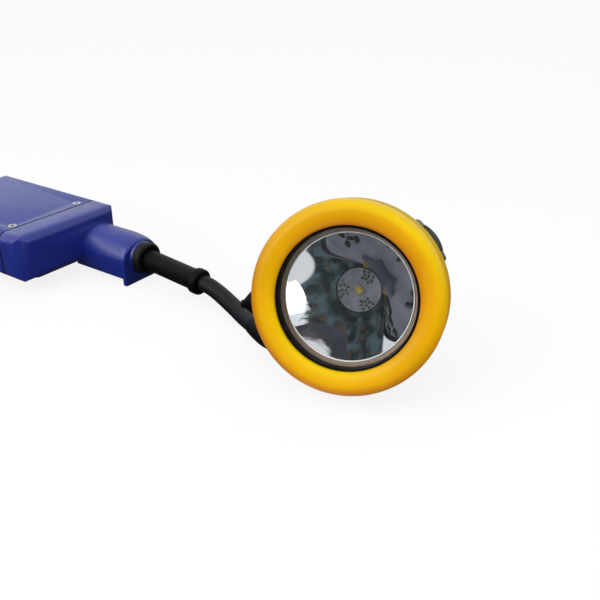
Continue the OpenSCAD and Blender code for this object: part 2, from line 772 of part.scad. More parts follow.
module outlet_nut() {
    nut_r = outlet_nut_d / 2;
    bore_r = sleeve_d / 2 + 1;
    edge = 1.4;
    color("#1b1b1d") translate([nose_front, nose_offset, nose_axis_z]) rotate([0, 90, 0]) rotate_extrude()
        polygon(concat([[bore_r, 0], [nut_r, 0]],
            arc([nut_r - edge, outlet_nut_t - edge], edge, 0, 90, 6), [[bore_r, outlet_nut_t]]));
}

// ---- Battery pack ----

module pack_outline() {
    intersection() {
        translate([0, 0, pack_base_z]) linear_extrude(pack_h)
            rounded_rect(pack_length, pack_w, pack_corner_r);
        translate([0, 0, pack_base_z + pack_h / 2]) rotate([90, 0, 90])
            linear_extrude(pack_length, center = true) rounded_rect(pack_w, pack_h, edge_r);
        translate([0, 0, pack_base_z + pack_h / 2]) rotate([90, 0, 0])
            linear_extrude(pack_w, center = true) rounded_rect(pack_length, pack_h, edge_r);
    }
}

// The part of a solid between two stations along the pack
module slice(from, to) {
    intersection() {
        children();
        translate([from, -pack_w, -1]) cube([to - from, 2 * pack_w, pack_top_z + 10]);
    }
}

// The inside of the case and the head, drawn in by a margin
module pack_inside(from, to, margin) {
    wall = pack_wall + margin;
    slice(from, to) translate([0, 0, pack_base_z + pack_floor + margin])
        linear_extrude(pack_h - pack_floor - pack_roof - 2 * margin)
            rounded_rect(pack_length - 2 * pack_wall, pack_w - 2 * wall, pack_corner_r - pack_wall);
}

module case_screw_places() {
    for (side = [-1, 1], top = [0, 1]) translate([case_screw_x, side * case_screw_y,
        top == 1 ? pack_top_z : pack_base_z]) rotate([top == 1 ? 0 : 180, 0, 0]) children();
}

module bracket_screw_places() {
    for (end = [-1, 1], side = [-1, 1])
        translate([end * (belt_slot + leg_length) / 2, side * strap_w * 0.28, 0]) children();
}

module pack_case() {
    color("#1d2f8f") difference() {
        slice(-pack_front, case_front) pack_outline();
        pack_inside(-pack_front + pack_wall, pack_front, 0);
        case_screw_places() translate([0, 0, -pack_wall - 2])
            cylinder(d = case_screw_d + 0.3, h = pack_wall + 3, $fn = 32);
        case_screw_places() translate([0, 0, -case_screw_head])
            cylinder(d = case_screw_d * 1.8 + 0.3, h = 3, $fn = 32);
        bracket_screw_places() translate([0, 0, pack_base_z - 1])
            cylinder(d = bracket_screw_d + 0.1, h = bracket_bite + 1.2, $fn = 32);
    }
}

// The nose, arched above and straight-sided below, its top falling to the front plate, drawn in by a margin
module nose_solid(inset) {
    start = pack_front - edge_r - 1;
    front = nose_plate_x - inset;
    half = nose_w / 2 - inset;
    crown = [for (a = [0:7.5:90]) [nose_crown(a) - inset, nose_station(a) - inset]];
    union() {
        intersection() {
            translate([start, nose_offset, nose_arch_z]) rotate([0, 90, 0])
                cylinder(r = half, h = front - start);
            translate([0, nose_offset, nose_crown_z]) rotate([0, 90, 0])
                rotate_extrude() polygon(concat([[0, start - 1], [crown[0][0], start - 1]], crown, [[0, front]]));
            translate([start - 1, nose_offset - nose_w, nose_arch_z - 1])
                cube([front - start + 2, 2 * nose_w, nose_w]);
        }
        translate([start, nose_offset - half, nose_floor_z + inset])
            cube([front - start, 2 * half, nose_arch_z - nose_floor_z - inset]);
    }
}

module pack_head() {
    color("#1d2f8f") difference() {
        union() {
            slice(head_back, pack_front) pack_outline();
            nose_solid(0);
            translate([nose_plate_x - 1, nose_offset, nose_axis_z]) rotate([0, 90, 0])
                cylinder(d = nose_boss_d, h = nose_boss_t + 1);
            translate([nose_plate_x - foot_t, nose_offset - nose_w / 2 + 0.4, 0])
                cube([foot_t, nose_w - 0.8, nose_floor_z + 1]);
            pack_inside(case_front - spigot_length, head_back + 1, fit_gap);
        }
        pack_inside(case_front - spigot_length - 1, pack_front - pack_wall, 2.2);
        slice(pack_front - pack_wall - 1, nose_front) nose_solid(nose_wall);
        translate([nose_front - 6, nose_offset, nose_axis_z]) rotate([0, 90, 0])
            cylinder(d = cable_d + 0.4, h = 8, $fn = 48);
        case_screw_places() translate([0, 0, -case_screw_head - case_screw_l - 1])
            cylinder(d = case_screw_d + 0.1, h = case_screw_l + 1, $fn = 32);
    }
}

module case_gasket() {
    color("black") difference() {
        slice(case_front, head_back) pack_outline();
        pack_inside(case_front - 1, head_back + 1, fit_gap - seal_gap);
    }
}

module case_screws() {
    color("dimgray") case_screw_places()
        screw(case_screw_d * 1.8, case_screw_head, case_screw_d, case_screw_l);
}

module cell_places() {
    for (i = [0:cell_count - 1]) translate([cell_back, (i - (cell_count - 1) / 2) * cell_pitch, cell_z])
        rotate([0, 90, 0]) children();
}

module cells() {
    color("mediumseagreen") cell_places() union() {
        cylinder(d = cell_d, h = cell_length - 0.8);
        cylinder(d = cell_d * 0.45, h = cell_length);
    }
}

module cell_frames() {
    frame_t = 5;
    frame_w = cell_count * cell_pitch + 2;
    color("#333333") for (x = [cell_back + 3, cell_back + cell_length - 9]) difference() {
        translate([x, -frame_w / 2, cell_z - cell_d / 2 - 0.3]) cube([frame_t, frame_w, cell_d + 0.6]);
        cell_places() translate([0, 0, -1]) cylinder(d = cell_d + 2 * seal_gap, h = cell_length + 2);
    }
}

module nickel_strips() {
    strip_w = (cell_count - 1) * cell_pitch + 8;
    color("silver") for (x = [cell_back - strip_t, cell_back + cell_length])
        translate([x, -strip_w / 2, cell_z - 3.5]) cube([strip_t, strip_w, 7]);
}

module protection_board() {
    color("darkgreen") translate([board_x, -board_w / 2, cell_z - board_h / 2])
        cube([1.6, board_w, board_h]);
}

module protection_parts() {
    color("dimgray") translate([board_x + 1.6, 0, cell_z]) union() {
        for (y = [-18, -11, 4, 11]) translate([0, y, -2.5]) cube([1.7, 5, 5]);
        translate([0, -3, -3]) cube([1.2, 4, 6]);
        for (y = [-24, 19]) translate([0, y, -1]) cube([0.8, 2, 1.2]);
    }
}

module belt_bracket() {
    strap_l = belt_slot + 2 * leg_length;
    color("#2b2b2e") difference() {
        union() {
            linear_extrude(strap_t) rounded_rect(strap_l, strap_w, 3);
            for (end = [-1, 1])
                translate([end * (belt_slot + leg_length) / 2 - leg_length / 2, -strap_w / 2 + 2, 0])
                    cube([leg_length, strap_w - 4, pack_base_z]);
        }
        bracket_screw_places() translate([0, 0, -1])
            cylinder(d = bracket_screw_d + 0.4, h = pack_base_z + 2, $fn = 32);
        bracket_screw_places() translate([0, 0, -1])
            cylinder(d = bracket_screw_d * 1.8 + 0.4, h = 1 + bracket_screw_head + 0.2, $fn = 32);
    }
}

module bracket_screws() {
    color("gray") bracket_screw_places() translate([0, 0, 0.2]) rotate([180, 0, 0])
        screw(bracket_screw_d * 1.8, bracket_screw_head, bracket_screw_d,
            pack_base_z - 0.2 - bracket_screw_head + bracket_bite);
}

bezel_ring();
bezel_lock_screw();
lens_gasket();
lens();
reflector();
led_board();
main_led();
led_board_parts();
heat_sink();
heat_sink_screws();
driver_spacers();
driver_board();
driver_parts();
driver_screws();
shell_o_ring();
rear_shell();
switch_collar();
switch_knob();
switch_shaft();
shaft_o_ring();
shaft_clip();
switch_wiper();
switch_wafer();
post_base();
charging_pin();
pin_nut();
cap_hook();
hook_screws();
gland_nut();
cable_tail();
lamp_boot();
cable();
pack_sleeve();
outlet_nut();
pack_head();
pack_case();
case_gasket();
case_screws();
cells();
cell_frames();
nickel_strips();
protection_board();
protection_parts();
belt_bracket();
bracket_screws();
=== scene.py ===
import json
import math

import bmesh
import bpy
import numpy as np
from bpy.props import FloatProperty, FloatVectorProperty, IntProperty, PointerProperty
from mathutils import Matrix, Vector


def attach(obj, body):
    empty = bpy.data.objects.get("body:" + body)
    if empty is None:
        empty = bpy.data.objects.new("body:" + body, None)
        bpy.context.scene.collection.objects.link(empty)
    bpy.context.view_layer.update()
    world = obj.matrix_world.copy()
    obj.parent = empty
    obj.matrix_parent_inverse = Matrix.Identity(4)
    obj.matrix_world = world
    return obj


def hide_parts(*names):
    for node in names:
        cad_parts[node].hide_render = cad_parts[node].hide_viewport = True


bl_info = {
    "name": "Miner's cap lamp",
    "version": (1, 0, 0),
    "blender": (4, 5, 0),
    "location": "View3D > Sidebar > Cap lamp",
    "description": "Finishes the packed cap lamp: bezel, reflector, cable, battery pack and stage",
    "category": "Add Mesh",
}

MM = 0.001
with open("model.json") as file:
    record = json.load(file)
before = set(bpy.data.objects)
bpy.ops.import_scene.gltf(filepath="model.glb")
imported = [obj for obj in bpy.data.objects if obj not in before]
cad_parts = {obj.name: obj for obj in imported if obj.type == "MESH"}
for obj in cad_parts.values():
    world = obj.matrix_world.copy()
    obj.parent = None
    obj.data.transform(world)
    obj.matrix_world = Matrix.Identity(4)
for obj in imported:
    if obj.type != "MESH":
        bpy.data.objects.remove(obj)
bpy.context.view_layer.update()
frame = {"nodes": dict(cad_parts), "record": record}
NODES = frame["nodes"]

# The cable's centre line in mm, from the outlet sleeve's end to the boot's tip
CABLE_ROUTE = [(124, 17.4, 9.7), (129, 17.3, 9.2), (137, 15.9, 7.6), (149, 12.2, 5.4), (157, 8.8, 4.7),
               (162.5, 6.2, 4.85), (167.5, 3.8, 5.1)]
NOSE_FACE = Vector((82.5, 18, 13.2))
# Where the boot meets the gland nut, in mm, and the way it leaves
BOOT_ROOT = Vector((190.14, -4.12, 8.81))
BOOT_WAY = Vector((-0.9188, 0.0557, -0.3907))
# Stations in the headpiece's own frame, in mm from the bezel's widest plane
LENS_BACK = 2.7
FLANGE_FRONT = -3.7
BOARD_TOP = -27.24
SWITCH_BACK = 24.8
SWITCH_ANGLE = 41
KNOB_SEAT = 37.8
LIP_FRONT = -0.5
BEZEL_BORE = 33
SEAT_RADIUS = 32.6
DIODE_TURN = 40
# Points closer than this are one point, and edges sharper than these angles in degrees stay sharp
# in the shading or get a small round
WELD = 0.002 * MM
CREASE = 38
ROUNDED_FROM = 32
# How far the cable runs on inside the sleeve's end and the boot's tip, in mm
RUN_ON = 4
# The boot's radius at its root, its taper and the depth of its grip grooves, in mm
BOOT_RADIUS = 6
BOOT_TAPER = 1.5
BOOT_GROOVE = 0.4
# The camera: its place in mm, the way that it looks in degrees, and its lens in mm
CAMERA_AT = Vector((364.09, -238.90, 175.80))
CAMERA_AZIMUTH = 35.124
CAMERA_HEIGHT = 26.801
CAMERA_SENSOR = 36
CAMERA_LENS = 46.086
# Area lights: name, place in metres, side in metres, power in watts, and whether the mirror shows it
LIGHTS = (("key", (-0.05, -0.5, 0.42), 0.5, 2.4, True),
          ("side", (0.66, -0.12, 0.15), 0.25, 1.1, False))
LIGHTS_AIM = (0.2, 0, 0.03)


def lamp_frame():
    """The headpiece's own frame: beam along +Z, X level, origin in the bezel's widest plane."""
    cloud = np.array([v.co for v in NODES["lens"].data.vertices])
    beam = Vector(np.linalg.svd(cloud - cloud.mean(0), full_matrices=False)[2][2])
    if beam.y > 0:
        beam = -beam
    right = Vector((0, 0, 1)).cross(beam).normalized()
    turn = Matrix((right, beam.cross(right), beam))
    local = cloud @ np.array(turn).T
    middle = Vector((local.min(0) + local.max(0)) / 2) + Vector((0, 0, LENS_BACK * MM))
    return Matrix.Translation(turn.transposed() @ middle) @ turn.transposed().to_4x4()


LAMP = lamp_frame()


def paint(code):
    """Linear colour of an sRGB hex code."""
    parts = [int(code[i:i + 2], 16) / 255 for i in (1, 3, 5)]
    return [c / 12.92 if c <= 0.04045 else ((c + 0.055) / 1.055) ** 2.4 for c in parts]


# ---- Sizes and colours ----

class CapLampSizes(bpy.types.PropertyGroup):
    bezel_radius: FloatProperty(name="Bezel radius", description="Outer radius of the bezel ring",
                                default=39 * MM, unit="LENGTH")
    bezel_opening: FloatProperty(name="Bezel opening", description="Radius of the bezel's front opening",
                                 default=28.7 * MM, unit="LENGTH")
    bezel_crown: FloatProperty(name="Bezel crown", description="Height of the crown over the skirt",
                               default=6.4 * MM, unit="LENGTH")
    bezel_skirt: FloatProperty(name="Bezel skirt", description="Length of the straight skirt",
                               default=13 * MM, unit="LENGTH")
    mirror_rim: FloatProperty(name="Mirror rim", description="Radius of the mirror at its rim",
                              default=25.6 * MM, unit="LENGTH")
    mirror_hole: FloatProperty(name="Mirror hole", description="Radius of the hole in the mirror's base",
                               default=10 * MM, unit="LENGTH")
    mirror_focal_length: FloatProperty(name="Mirror focal length", description="Focal length of the mirror",
                                       default=6 * MM, unit="LENGTH")
    cable_diameter: FloatProperty(name="Cable", description="Diameter of the cable",
                                  default=8.3 * MM, unit="LENGTH")
    sleeve_diameter: FloatProperty(name="Sleeve", description="Diameter of the outlet sleeve",
                                   default=10.9 * MM, unit="LENGTH")
    collar_diameter: FloatProperty(name="Sleeve collar", description="Diameter of the collar at its end",
                                   default=13.4 * MM, unit="LENGTH")
    knob_radius: FloatProperty(name="Knob", description="Radius of the switch knob",
                               default=6.7 * MM, unit="LENGTH")
    knob_height: FloatProperty(name="Knob height", description="Height of the knob's dome",
                               default=1.9 * MM, unit="LENGTH")
    knob_ribs: IntProperty(name="Knob ribs", description="Number of grip ribs on the knob", default=24)
    led_side: FloatProperty(name="LED side", description="Side of the light-emitting diode's package",
                            default=3.5 * MM, unit="LENGTH")


class CapLampColours(bpy.types.PropertyGroup):
    bezel: FloatVectorProperty(name="Bezel", description="Colour of the bezel ring", size=3,
                               subtype="COLOR", default=paint("#D28200"))
    # The bezel's painted highlight: the lemon colour of its faces that turn up towards the light
    bezel_painted_highlight: FloatVectorProperty(name="Bezel painted highlight", description="Colour of the bezel's upper faces",
                                     size=3, subtype="COLOR", default=paint("#E7BF00"))
    pack: FloatVectorProperty(name="Pack", description="Colour of the battery pack", size=3,
                              subtype="COLOR", default=paint("#1A2A86"))
    knob: FloatVectorProperty(name="Knob", description="Colour of the switch knob", size=3,
                              subtype="COLOR", default=paint("#2F2E27"))


# ---- Node and mesh helpers ----

def add(tree, kind, links=None, **settings):
    """Adds a shader node, sets its properties and sockets, and links its inputs."""
    made = tree.nodes.new("ShaderNode" + kind)
    for name, value in settings.items():
        setattr(made, name, value)
    for name, value in (links or {}).items():
        socket = made.inputs[name]
        if isinstance(value, bpy.types.NodeSocket):
            tree.links.new(value, socket)
        else:
            socket.default_value = value
    return made


def rgba(colour):
    return (*colour, 1.0)


def material(name):
    """A new material with its Principled shader, the tree and the Object coordinates."""
    made = bpy.data.materials.new(name)
    made.use_nodes = True
    tree = made.node_tree
    shader = tree.nodes["Principled BSDF"]
    where = add(tree, "TexCoord").outputs["Object"]
    return made, tree, shader, where


def band(tree, value, low, high, soft):
    """One between low and high, and nothing outside, with soft edges."""
    rise = add(tree, "MapRange", {"Value": value, "From Min": low - soft, "From Max": low + soft},
               interpolation_type="SMOOTHSTEP").outputs["Result"]
    fall = add(tree, "MapRange", {"Value": value, "From Min": high - soft, "From Max": high + soft,
                                  "To Min": 1.0, "To Max": 0.0},
               interpolation_type="SMOOTHSTEP").outputs["Result"]
    return add(tree, "Math", {0: rise, 1: fall}, operation="MULTIPLY").outputs[0]


def beam_place(tree, where):
    """Radius in mm from the beam axis, and the direction around it."""
    back = LAMP.inverted()
    local = add(tree, "Mapping", {"Vector": where, "Location": back.translation,
                                  "Rotation": back.to_euler()})
    parts = add(tree, "SeparateXYZ", {"Vector": local.outputs[0]})
    flat = add(tree, "CombineXYZ", {"X": parts.outputs["X"], "Y": parts.outputs["Y"]})
    length = add(tree, "VectorMath", {0: flat.outputs[0]}, operation="LENGTH").outputs["Value"]
    radius = add(tree, "Math", {0: length, 1: 1 / MM}, operation="MULTIPLY").outputs[0]
    around = add(tree, "Math", {0: parts.outputs["Y"], 1: parts.outputs["X"]},
                 operation="ARCTAN2").outputs[0]
    return radius, around


def tinted(tree, shader, colour, value, dark, light):
    """Base colour that varies a little over the surface."""
    shade = add(tree, "MapRange", {"Value": value, "From Min": 0.3, "From Max": 0.7, "To Min": dark,
                                   "To Max": light}).outputs["Result"]
    made = add(tree, "Mix", {0: 1.0, 6: rgba(colour), 7: shade}, data_type="RGBA", blend_type="MULTIPLY")
    tree.links.new(made.outputs[2], shader.inputs["Base Color"])


def grained(tree, shader, where, rough, spread, scuff_mm, grain_mm, depth_mm):
    """Uneven roughness from handling, and a fine grain in the surface."""
    scuff = add(tree, "TexNoise", {"Vector": where, "Scale": 1 / (scuff_mm * MM), "Detail": 5.0,
                                   "Roughness": 0.6}).outputs["Fac"]
    worn = add(tree, "MapRange", {"Value": scuff, "From Min": 0.3, "From Max": 0.7, "To Min": rough - spread,
                                  "To Max": rough + spread}).outputs["Result"]
    tree.links.new(worn, shader.inputs["Roughness"])
    grain = add(tree, "TexNoise", {"Vector": where, "Scale": 1 / (grain_mm * MM), "Detail": 3.0})
    bump = add(tree, "Bump", {"Height": grain.outputs["Fac"], "Distance": depth_mm * MM})
    tree.links.new(bump.outputs["Normal"], shader.inputs["Normal"])


def plastic(name, colour, rough, grain_mm=0.35, depth_mm=0.006, spread=0.06, gloss=0.5):
    """Moulded thermoplastic, IOR 1.54."""
    made, tree, shader, where = material(name)
    shader.inputs["IOR"].default_value = 1.54
    shader.inputs["Specular IOR Level"].default_value = gloss
    broad = add(tree, "TexNoise", {"Vector": where, "Scale": 1 / (18 * MM), "Detail": 3.0}).outputs["Fac"]
    tinted(tree, shader, colour, broad, 0.94, 1.04)
    grained(tree, shader, where, rough, spread, 4, grain_mm, depth_mm)
    return made


def metal(name, colour, rough, grain_mm=0.3, spread=0.08):
    """Bare or plated metal with fine tool marks."""
    made, tree, shader, where = material(name)
    shader.inputs["Metallic"].default_value = 1.0
    broad = add(tree, "TexNoise", {"Vector": where, "Scale": 1 / (6 * MM), "Detail": 3.0}).outputs["Fac"]
    tinted(tree, shader, colour, broad, 0.88, 1.05)
    grained(tree, shader, where, rough, spread, 1.5, grain_mm, 0.003)
    return made


def mesh_object(name, bm, place=None):
    """Makes the bmesh an object at the origin, its place in its mesh."""
    if place is not None:
        bmesh.ops.transform(bm, matrix=place, verts=bm.verts)
    bmesh.ops.remove_doubles(bm, verts=bm.verts, dist=WELD)
    bmesh.ops.recalc_face_normals(bm, faces=bm.faces)
    mesh = bpy.data.meshes.new(name)
    bm.to_mesh(mesh)
    bm.free()
    mesh.shade_smooth()
    mesh.set_sharp_from_angle(angle=math.radians(CREASE))
    made = bpy.data.objects.new(name, mesh)
    bpy.context.scene.collection.objects.link(made)
    return made


def turned(name, outline, steps, place=None, closed=True, carve=None):
    """A body turned about Z from (radius, height) points in mm, and carved point by point."""
    bm = bmesh.new()
    points = [bm.verts.new((r * MM, 0, z * MM)) for r, z in outline]
    pairs = list(zip(points, points[1:]))
    if closed:
        pairs.append((points[-1], points[0]))
    edges = [bm.edges.new(pair) for pair in pairs]
    bmesh.ops.spin(bm, geom=points + edges, cent=(0, 0, 0), axis=(0, 0, 1), angle=math.tau,
                   steps=steps, use_merge=True, use_duplicate=False)
    if carve:
        for point in bm.verts:
            point.co = carve(point.co)
    return mesh_object(name, bm, place)


def softened(name, node, width_mm, made, body, slot):
    """A copy of a CAD node with its sharp edges broken by a small round."""
    bm = bmesh.new()
    bm.from_mesh(NODES[node].data)
    bmesh.ops.remove_doubles(bm, verts=bm.verts, dist=WELD)
    bmesh.ops.dissolve_limit(bm, angle_limit=math.radians(0.4), verts=bm.verts, edges=bm.edges)
    sharp = [edge for edge in bm.edges
             if edge.is_manifold and edge.calc_face_angle(0) > math.radians(ROUNDED_FROM)]
    bmesh.ops.bevel(bm, geom=sharp, offset=width_mm * MM, offset_type="OFFSET", affect="EDGES", segments=2,
                    profile=0.5, material=-1, clamp_overlap=True)
    return finish(mesh_object(name, bm), made, body, slot, node)


def oval(centre, rx, ry, start, end, count):
    """Points on an ellipse between two angles in degrees."""
    return [(centre[0] + rx * math.cos(math.radians(start + (end - start) * i / count)),
             centre[1] + ry * math.sin(math.radians(start + (end - start) * i / count)))
            for i in range(count + 1)]


def smooth_line(points, count):
    """Catmull-Rom points along a route in mm, evenly numbered."""
    knots = [Vector(p) for p in points]
    knots = [2 * knots[0] - knots[1]] + knots + [2 * knots[-1] - knots[-2]]
    spans = len(knots) - 3
    line = []
    for i in range(count + 1):
        at = spans * i / count
        k = min(int(at), spans - 1)
        t = at - k
        a, b, c, d = knots[k:k + 4]
        line.append(0.5 * (2 * b + (c - a) * t + (2 * a - 5 * b + 4 * c - d) * t ** 2
                           + (3 * b - a - 3 * c + d) * t ** 3))
    return line


def tube(name, line, radii):
    """A swept round tube along points in mm with its own radius at each, closed at both ends."""
    curve = bpy.data.curves.new(name + "_line", "CURVE")
    curve.dimensions = "3D"
    curve.bevel_depth = 1.0 * MM
    curve.bevel_resolution = 12
    curve.use_fill_caps = True
    spline = curve.splines.new("POLY")
    spline.points.add(len(line) - 1)
    for point, at, radius in zip(spline.points, line, radii):
        point.co = (*(at * MM), 1.0)
        point.radius = radius
    spline.use_smooth = True
    holder = bpy.data.objects.new(name + "_line", curve)
    bpy.context.scene.collection.objects.link(holder)
    bpy.context.view_layer.update()
    mesh = bpy.data.meshes.new_from_object(holder.evaluated_get(bpy.context.evaluated_depsgraph_get()))
    bpy.data.objects.remove(holder)
    bm = bmesh.new()
    bm.from_mesh(mesh)
    bpy.data.meshes.remove(mesh)
    return mesh_object(name, bm)


def finish(piece, made, body, slot, *replaced):
    """Gives a piece its material and body, and hides the CAD nodes that it stands for; slot is not used."""
    piece.data.materials.clear()
    piece.data.materials.append(made)
    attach(piece, body)
    if replaced:
        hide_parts(*replaced)
    return piece


# ---- Materials ----

def rubber(name, colour, rough, gloss, depth_mm=0.006):
    """Moulded rubber, IOR 1.52, with a faint uneven bloom."""
    made, tree, shader, where = material(name)
    shader.inputs["IOR"].default_value = 1.52
    shader.inputs["Specular IOR Level"].default_value = gloss
    bloom = add(tree, "TexNoise", {"Vector": where, "Scale": 1 / (9 * MM), "Detail": 4.0, "Roughness": 0.6})
    tinted(tree, shader, colour, bloom.outputs["Fac"], 0.75, 1.25)
    grained(tree, shader, where, rough, 0.06, 2.5, 0.3, depth_mm)
    return made


MATERIALS = {}


def bezel_material(colour, painted_highlight):
    # Yellow ABS, satin and even: painted shade makes it deeper orange where it faces down, and a painted
    # highlight makes it lemon where it faces up and to the right, towards the light
    made = plastic("yellow_abs", colour, 0.34, 0.5, 0.004, 0.05, gloss=0.14)
    tree = made.node_tree
    # Painted highlight and shade: the colour runs from orange to lemon as the face turns up and to the right
    facing = add(tree, "VectorMath", {0: add(tree, "TexCoord").outputs["Normal"], 1: (0.45, 0, 0.89)},
                 operation="DOT_PRODUCT").outputs["Value"]
    upward = add(tree, "MapRange", {"Value": facing, "From Min": -0.45, "From Max": 0.9}).outputs["Result"]
    share = add(tree, "Math", {0: upward, 1: 1.8}, operation="POWER").outputs[0]
    body = add(tree, "Mix", {0: share, 6: rgba(colour), 7: rgba(painted_highlight)}, data_type="RGBA").outputs[2]
    tint = tree.nodes["Principled BSDF"].inputs["Base Color"].links[0].from_node
    tree.links.new(body, tint.inputs[6])
    return made


def mirror_material():
    # Metallised plastic: a near perfect mirror in the bowl, a white band round its rim that is a painted
    # highlight drawing a thin bright line, and a brownish satin flange with mould rings, its brown partly a
    # painted reflection of the yellow bezel
    made, tree, shader, where = material("mirror_coating")
    radius = beam_place(tree, where)[0]
    flange = band(tree, radius, 26.1, 40, 0.05)
    # Painted highlight: the white band round the mirror's rim
    edge = band(tree, radius, 25.5, 26.1, 0.03)
    satin = add(tree, "Mix", {0: flange, 6: rgba(paint("#F0F1F4")), 7: rgba(paint("#B7A08C"))},
                data_type="RGBA").outputs[2]
    colour = add(tree, "Mix", {0: edge, 6: satin, 7: rgba(paint("#FAFAF8"))}, data_type="RGBA").outputs[2]
    tree.links.new(colour, shader.inputs["Base Color"])
    not_metal = add(tree, "Math", {0: flange, 1: 0.55, 2: edge}, operation="MULTIPLY_ADD").outputs[0]
    coated = add(tree, "Math", {0: 1.0, 1: not_metal}, operation="SUBTRACT").outputs[0]
    tree.links.new(coated, shader.inputs["Metallic"])
    dull = add(tree, "MapRange", {"Value": add(tree, "Math", {0: flange, 1: edge}).outputs[0],
                                  "To Min": 0.02, "To Max": 0.38}).outputs["Result"]
    tree.links.new(dull, shader.inputs["Roughness"])
    rings = add(tree, "Math", {0: radius, 1: 9.0}, operation="MULTIPLY").outputs[0]
    rings = add(tree, "Math", {0: rings}, operation="SINE").outputs[0]
    ripple = add(tree, "Math", {0: rings, 1: flange}, operation="MULTIPLY").outputs[0]
    bump = add(tree, "Bump", {"Height": ripple, "Distance": 0.03 * MM})
    tree.links.new(bump.outputs["Normal"], shader.inputs["Normal"])
    return made


def led_board_material():
    # Grey solder mask on an aluminium core: mottled, with a thin dark ring of painted shade where it meets
    # the mirror's hole, and small dark marks round the parts
    made, tree, shader, where = material("led_board_white")
    shader.inputs["IOR"].default_value = 1.5
    shader.inputs["Roughness"].default_value = 0.42
    radius, around = beam_place(tree, where)
    # Painted shade: a thin dark ring where the board meets the mirror's hole
    painted_gap_shade = band(tree, radius, 9.38, 30, 0.05)
    thrice = add(tree, "Math", {0: around, 1: 3.0, 2: -math.pi}, operation="MULTIPLY_ADD").outputs[0]
    wave = add(tree, "Math", {0: thrice}, operation="COSINE").outputs[0]
    sector = add(tree, "MapRange", {"Value": wave, "From Max": 0.35}).outputs["Result"]
    zone = add(tree, "Math", {0: sector, 1: band(tree, radius, 4.6, 8.6, 0.3)},
               operation="MULTIPLY").outputs[0]
    fine = add(tree, "TexNoise", {"Vector": where, "Scale": 1 / (0.8 * MM), "Detail": 3.0, "Roughness": 0.7})
    specks = add(tree, "MapRange", {"Value": fine.outputs["Fac"], "From Min": 0.54, "From Max": 0.6,
                                    "To Max": 0.85}).outputs["Result"]
    printed = add(tree, "Math", {0: zone, 1: specks}, operation="MULTIPLY").outputs[0]
    cloud = add(tree, "TexNoise", {"Vector": where, "Scale": 1 / (3.5 * MM), "Detail": 4.0})
    share = add(tree, "MapRange", {"Value": cloud.outputs["Fac"], "From Min": 0.3,
                                   "From Max": 0.7}).outputs["Result"]
    plain = add(tree, "Mix", {0: share, 6: rgba(paint("#757782")), 7: rgba(paint("#94959F"))},
                data_type="RGBA").outputs[2]
    marked = add(tree, "Mix", {0: printed, 6: plain, 7: rgba(paint("#2C2D2A"))}, data_type="RGBA").outputs[2]
    gap_shaded = add(tree, "Mix", {0: painted_gap_shade, 6: marked, 7: rgba(paint("#292A2E"))}, data_type="RGBA").outputs[2]
    tree.links.new(gap_shaded, shader.inputs["Base Color"])
    return made


def clear_material(name, ior):
    # Clear plastic or silicone: seen through, and its shadow rays pass straight
    made, tree, shader, _ = material(name)
    shader.inputs["IOR"].default_value = ior
    shader.inputs["Transmission Weight"].default_value = 1.0
    shader.inputs["Roughness"].default_value = 0.0
    shader.inputs["Base Color"].default_value = rgba(paint("#FCFDFD"))
    clear = add(tree, "BsdfTransparent")
    path = add(tree, "LightPath")
    mix = add(tree, "MixShader", {0: path.outputs["Is Shadow Ray"], 1: shader.outputs["BSDF"],
                                  2: clear.outputs["BSDF"]})
    tree.links.new(mix.outputs["Shader"], tree.nodes["Material Output"].inputs["Surface"])
    return made


